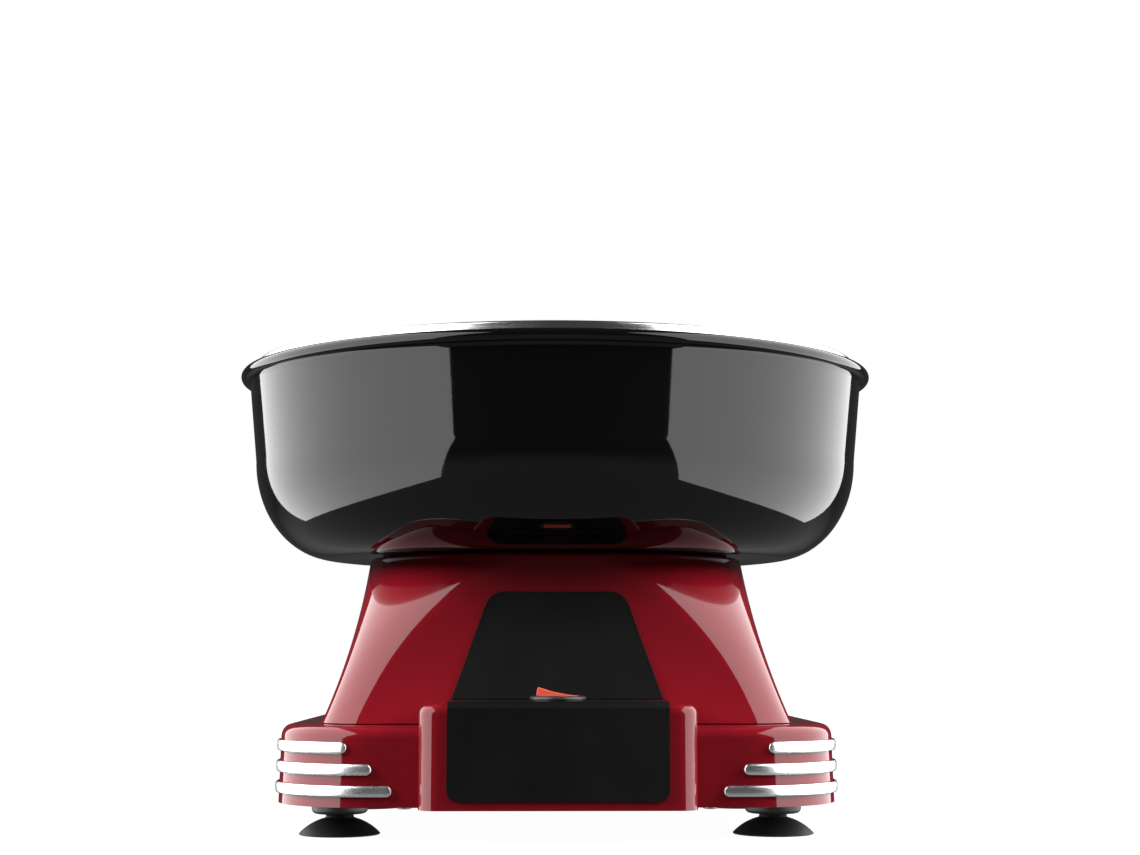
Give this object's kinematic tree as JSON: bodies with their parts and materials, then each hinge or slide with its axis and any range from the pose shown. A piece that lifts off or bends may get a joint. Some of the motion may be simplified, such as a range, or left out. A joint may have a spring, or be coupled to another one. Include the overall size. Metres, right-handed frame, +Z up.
{
  "type": "cotton candy machine",
  "caption": "Tabletop cotton candy machine: a red housing on suction feet with a rocker switch, a spinning sugar head and a deep lift-off bowl.",
  "frame": {"origin": "on the table, under the centre of the bowl, which is the axis of the spinning head", "axes": "+Z up along the spinning head's axis, -Y towards the front with the switch, +X to the right seen from the front"},
  "size_m": [0.29, 0.29, 0.2065],
  "materials": {
    "red_plastic": "deep red gloss moulding",
    "black_gloss": "high gloss black",
    "panel_black": "satin black",
    "chrome": "bright chrome plating",
    "steel": "fine brushed stainless",
    "aluminium": "spun, satin",
    "rubber": "soft black rubber",
    "switch_red": "translucent red-orange rocker",
    "switch_black": "fine textured black",
    "dark_plastic": "textured black moulding",
    "ceramic": "unglazed steatite",
    "heater_metal": "heat-darkened steel sheath",
    "zinc": "zinc plated",
    "lamination": "varnished steel laminations",
    "copper": "enamelled copper wire",
    "bronze": "sintered bronze",
    "wire_cover": "wire insulation"
  },
  "bodies": {
    "base": {"bearing_lower": "bronze", "bearing_upper": "bronze", "bottom_cover": "dark_plastic", "bowl_seal": "rubber", "bracket_screw_1": "zinc", "bracket_screw_2": "zinc", "bracket_screw_3": "zinc", "chrome_strip_lower_left": "chrome", "chrome_strip_lower_right": "chrome", "chrome_strip_middle_left": "chrome", "chrome_strip_middle_right": "chrome", "chrome_strip_upper_left": "chrome", "chrome_strip_upper_right": "chrome", "cord_inlet": "rubber", "cover_screw_1": "zinc", "cover_screw_2": "zinc", "cover_screw_3": "zinc", "cover_screw_4": "zinc", "foot_mount_front_left": "dark_plastic", "foot_mount_front_right": "dark_plastic", "foot_mount_rear_left": "dark_plastic", "foot_mount_rear_right": "dark_plastic", "front_panel": "panel_black", "heater_element": "heater_metal", "heater_pan": "steel", "heater_post_1": "ceramic", "heater_post_2": "ceramic", "heater_post_3": "ceramic", "lower_housing": "red_plastic", "motor_bolt_1": "zinc", "motor_bolt_2": "zinc", "motor_bracket": "zinc", "motor_plate_lower": "zinc", "motor_plate_upper": "zinc", "motor_stator": "lamination", "slope_panel": "panel_black", "suction_foot_front_left": "rubber", "suction_foot_front_right": "rubber", "suction_foot_rear_left": "rubber", "suction_foot_rear_right": "rubber", "switch_body": "switch_black", "terminal_block": "ceramic", "thermal_cutout": "steel", "upper_housing": "red_plastic", "winding_lower": "copper", "winding_upper": "copper", "wire_heater": "wire_cover", "wire_inlet": "wire_cover", "wire_switch": "wire_cover"},
    "rotor": {"motor_shaft": "steel", "armature": "lamination", "cooling_fan": "dark_plastic", "drive_hub": "dark_plastic"},
    "head": {"head_dish": "aluminium", "head_band": "steel", "head_cover": "aluminium"},
    "bowl": {"bowl_shell": "black_gloss", "bowl_liner": "steel"},
    "rocker": {"switch_rocker": "switch_red"}
  },
  "joints": [
    {"name": "rotor_spin", "type": "hinge", "parent": "base", "child": "rotor", "pos_m": [0, 0, 0.08], "axis": [0, 0, 1], "continuous": true},
    {"name": "head_lift", "type": "slide", "parent": "rotor", "child": "head", "axis": [0, 0, 1], "range_m": [0, 0.06]},
    {"name": "bowl_lift", "type": "slide", "parent": "base", "child": "bowl", "axis": [0, 0, 1], "range_m": [0, 0.12]},
    {"name": "switch_rock", "type": "hinge", "parent": "base", "child": "rocker", "pos_m": [0, -0.116, 0.0578], "axis": [0, -1, 0], "range_deg": [0, 24]}
  ]
}
